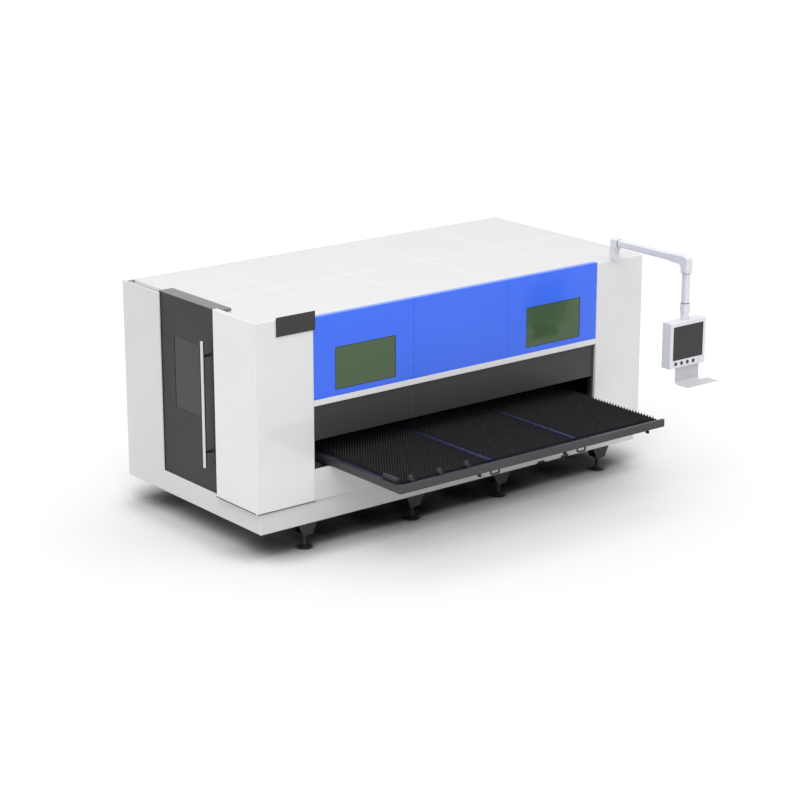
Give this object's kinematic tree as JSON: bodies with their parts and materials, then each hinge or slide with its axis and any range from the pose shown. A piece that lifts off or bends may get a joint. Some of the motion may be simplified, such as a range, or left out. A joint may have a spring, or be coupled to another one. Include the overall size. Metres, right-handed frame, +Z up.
{
  "type": "fiber laser cutting machine",
  "caption": "Enclosed fiber laser cutting machine with a draw-out slat table, lifting front door, sliding end door and a swinging control arm.",
  "frame": {"origin": "middle of the floor rectangle under the whole machine, on the floor", "axes": "+X along the front to the right, +Y from the front to the back, +Z up"},
  "size_m": [4.5, 3.352, 2.2753],
  "materials": {
    "white_coat": "satin",
    "grey_skirt_coat": "satin",
    "blue_coat": "satin",
    "laser_glass": "gloss",
    "charcoal_coat": "satin",
    "cap_grey": "satin",
    "gloss_black": "gloss",
    "navy_coat": "satin",
    "cut_steel": "rough",
    "frame_coat": "satin",
    "ground_steel": "ground",
    "polished_steel": "polished",
    "black_plastic": "matte",
    "black_rubber": "matte",
    "anodised_aluminium": "anodised",
    "galvanised": "galvanised",
    "arm_coat": "satin",
    "tray_coat": "satin",
    "screen_glass": "gloss"
  },
  "bodies": {
    "machine": {"base_frame": "frame_coat", "frame_posts": "frame_coat", "gantry_side_beams": "frame_coat", "roof_bars": "frame_coat", "linear_rails": "ground_steel", "foot_brackets": "frame_coat", "foot_studs": "ground_steel", "foot_locknuts": "ground_steel", "foot_pads": "black_plastic", "skirt_panels": "grey_skirt_coat", "front_apron": "white_coat", "front_left_panel": "white_coat", "front_right_panel": "white_coat", "left_front_panel": "white_coat", "left_rear_panel": "white_coat", "right_end_panels": "white_coat", "rear_panels": "white_coat", "roof_panels": "white_coat", "blue_panel_left": "blue_coat", "blue_panel_middle": "blue_coat", "blue_panel_right": "blue_coat", "viewing_windows": "laser_glass", "front_strip": "grey_skirt_coat", "sign_plate": "gloss_black", "fume_outlet": "galvanised", "side_door_tracks": "ground_steel", "lift_door_guides": "charcoal_coat", "scrap_trays": "frame_coat", "laser_source": "frame_coat", "arm_post": "arm_coat"},
    "table": {"table_side_rails": "charcoal_coat", "table_end_rails": "charcoal_coat", "slat_carriers": "navy_coat", "slats": "cut_steel", "table_stops": "cut_steel", "pull_handles": "black_plastic", "table_bumpers": "black_rubber", "table_guide_blocks": "ground_steel"},
    "side_door": {"side_door_panel": "charcoal_coat", "side_door_window": "laser_glass", "side_door_cap": "cap_grey", "side_door_glides": "black_plastic", "side_door_handle": "polished_steel", "handle_posts": "black_plastic"},
    "lift_door": {"lift_door": "charcoal_coat"},
    "gantry": {"gantry_beam": "anodised_aluminium", "gantry_blocks": "ground_steel"},
    "carriage": {"gantry_carriage": "anodised_aluminium"},
    "cutting_head": {"cutting_head": "anodised_aluminium"},
    "arm": {"arm_castings": "arm_coat", "arm_tube": "arm_coat", "arm_drop_tube": "arm_coat"},
    "control_box": {"box_swivel": "arm_coat", "control_box": "arm_coat", "control_screen": "screen_glass", "keyboard_tray": "tray_coat"},
    "button_1": {"button_1": "gloss_black"},
    "button_2": {"button_2": "gloss_black"},
    "button_3": {"button_3": "gloss_black"},
    "button_4": {"button_4": "gloss_black"}
  },
  "joints": [
    {"name": "table_slide", "type": "slide", "parent": "machine", "child": "table", "axis": [0, 1, 0], "range_m": [0, 0.94]},
    {"name": "side_door_slide", "type": "slide", "parent": "machine", "child": "side_door", "axis": [0, 1, 0], "range_m": [0, 0.56]},
    {"name": "lift_door_slide", "type": "slide", "parent": "machine", "child": "lift_door", "axis": [0, 0, 1], "range_m": [-0.14, 0.3]},
    {"name": "gantry_travel", "type": "slide", "parent": "machine", "child": "gantry", "axis": [1, 0, 0], "range_m": [0, 3.05]},
    {"name": "carriage_travel", "type": "slide", "parent": "gantry", "child": "carriage", "axis": [0, 1, 0], "range_m": [-1.43, 0]},
    {"name": "head_lift", "type": "slide", "parent": "carriage", "child": "cutting_head", "axis": [0, 0, 1], "range_m": [-0.055, 0.12]},
    {"name": "arm_swing", "type": "hinge", "parent": "machine", "child": "arm", "pos_m": [1.883, -0.545, 2.1813], "axis": [0, 0, 1], "range_deg": [-25, 90]},
    {"name": "box_turn", "type": "hinge", "parent": "arm", "child": "control_box", "pos_m": [1.883, -1.487, 1.7533], "axis": [0, 0, 1], "range_deg": [-60, 60]},
    {"name": "button_1_press", "type": "slide", "parent": "control_box", "child": "button_1", "axis": [0, 1, 0], "range_m": [0, 0.004], "stiffness_N_per_m": 600},
    {"name": "button_2_press", "type": "slide", "parent": "control_box", "child": "button_2", "axis": [0, 1, 0], "range_m": [0, 0.004], "stiffness_N_per_m": 600},
    {"name": "button_3_press", "type": "slide", "parent": "control_box", "child": "button_3", "axis": [0, 1, 0], "range_m": [0, 0.004], "stiffness_N_per_m": 600},
    {"name": "button_4_press", "type": "slide", "parent": "control_box", "child": "button_4", "axis": [0, 1, 0], "range_m": [0, 0.004], "stiffness_N_per_m": 600}
  ]
}
